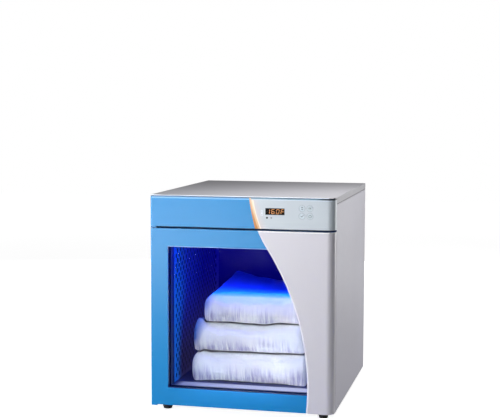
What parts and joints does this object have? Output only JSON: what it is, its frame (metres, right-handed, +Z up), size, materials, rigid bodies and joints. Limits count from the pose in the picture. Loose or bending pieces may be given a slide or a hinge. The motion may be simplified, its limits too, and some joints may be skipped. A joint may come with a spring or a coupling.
{
  "type": "blanket warming cabinet",
  "caption": "Countertop warming cabinet: insulated steel casing, perforated heated chamber, glazed door hung at the left with a curved pale cover, control panel above, rubber feet.",
  "frame": {"origin": "middle of the footprint box, at the level the feet stand on", "axes": "+Z up; the door and control panel face -Y; +X to the right of someone facing the door"},
  "size_m": [0.525, 0.6286, 0.62],
  "materials": {
    "casing_grey": "fine-texture powder coat, satin",
    "lid_grey": "fine-texture powder coat, satin",
    "front_blue": "smooth semi-gloss paint",
    "cover_grey": "pale grey moulding, satin",
    "overlay_grey": "printed film, satin",
    "stripe_orange": "printed film, satin",
    "frame_steel": "smooth dark paint",
    "inner_steel": "zinc-coated sheet",
    "chamber_paint": "smooth enamel",
    "deck_paint": "smooth enamel",
    "window_trim": "moulded, fine grain",
    "window_glass": "clear toughened glass",
    "gasket_rubber": "silicone, matte",
    "foot_rubber": "moulded, matte",
    "wool": "mineral wool slab",
    "cable_sheath": "silicone sheath",
    "screw_zinc": "zinc plate",
    "pin_steel": "ground",
    "bush_plastic": "natural acetal",
    "black_plastic": "moulded",
    "board_green": "solder mask",
    "display_black": "smoked",
    "lamp_lens": "tinted lens",
    "key_grey": "moulded, satin",
    "magnet_black": "ferrite",
    "probe_steel": "stainless",
    "thermostat_metal": "pressed cup",
    "transformer_iron": "varnished laminations",
    "light_channel": "extruded",
    "diffuser": "frosted, lit from inside",
    "spacer_metal": "rolled",
    "blanket_cotton": "woven cotton, folded"
  },
  "bodies": {
    "root": {"base_pan": "inner_steel", "side_panel_left": "casing_grey", "side_panel_right": "casing_grey", "rear_panel": "casing_grey", "top_lid": "lid_grey", "front_frame": "frame_steel", "control_tray": "inner_steel", "foot_front_left": "foot_rubber", "foot_front_right": "foot_rubber", "foot_rear_left": "foot_rubber", "foot_rear_right": "foot_rubber", "casing_screws": "screw_zinc", "chamber_liner": "chamber_paint", "perforated_panel_left": "chamber_paint", "perforated_panel_right": "chamber_paint", "chamber_deck": "deck_paint", "insulation_left": "wool", "insulation_right": "wool", "insulation_top": "wool", "insulation_bottom": "wool", "insulation_back": "wool", "heating_cable_left": "cable_sheath", "heating_cable_right": "cable_sheath", "light_housing": "light_channel", "light_diffuser": "diffuser", "temperature_probe": "probe_steel", "high_limit_thermostat": "thermostat_metal", "folded_blanket_lower": "blanket_cotton", "folded_blanket_middle": "blanket_cotton", "folded_blanket_upper": "blanket_cotton", "hinge_bracket_upper": "front_blue", "hinge_bracket_lower": "front_blue", "hinge_pins": "pin_steel", "control_fascia": "front_blue", "fascia_overlay": "overlay_grey", "fascia_stripe": "stripe_orange", "display_window": "display_black", "display_module": "display_black", "status_lamps": "lamp_lens", "control_board": "board_green", "power_inlet": "black_plastic", "transformer": "transformer_iron", "heater_relay": "black_plastic", "terminal_block": "bush_plastic"},
    "door": {"door_shell": "front_blue", "door_cover": "cover_grey", "window_bezel": "window_trim", "outer_glass": "window_glass", "inner_glass": "window_glass", "glass_spacer": "spacer_metal", "door_liner": "frame_steel", "door_gasket": "gasket_rubber", "finger_pull": "black_plastic", "catch_magnet": "magnet_black", "hinge_bushes": "bush_plastic"},
    "key_select": {"key_select": "key_grey"},
    "key_light": {"key_light": "key_grey"},
    "key_set": {"key_set": "key_grey"},
    "key_power": {"key_power": "key_grey"}
  },
  "joints": [
    {"name": "door_hinge", "type": "hinge", "parent": "root", "child": "door", "pos_m": [-0.2525, -0.2971, 0.3], "axis": [0, 0, -1], "range_deg": [0, 115]},
    {"name": "key_select_press", "type": "slide", "parent": "root", "child": "key_select", "axis": [0, 1, 0], "range_m": [0, 0.0008], "stiffness_N_per_m": 600, "springref_m": -0.0004},
    {"name": "key_light_press", "type": "slide", "parent": "root", "child": "key_light", "axis": [0, 1, 0], "range_m": [0, 0.0008], "stiffness_N_per_m": 600, "springref_m": -0.0004},
    {"name": "key_set_press", "type": "slide", "parent": "root", "child": "key_set", "axis": [0, 1, 0], "range_m": [0, 0.0008], "stiffness_N_per_m": 600, "springref_m": -0.0004},
    {"name": "key_power_press", "type": "slide", "parent": "root", "child": "key_power", "axis": [0, 1, 0], "range_m": [0, 0.0008], "stiffness_N_per_m": 600, "springref_m": -0.0004}
  ]
}
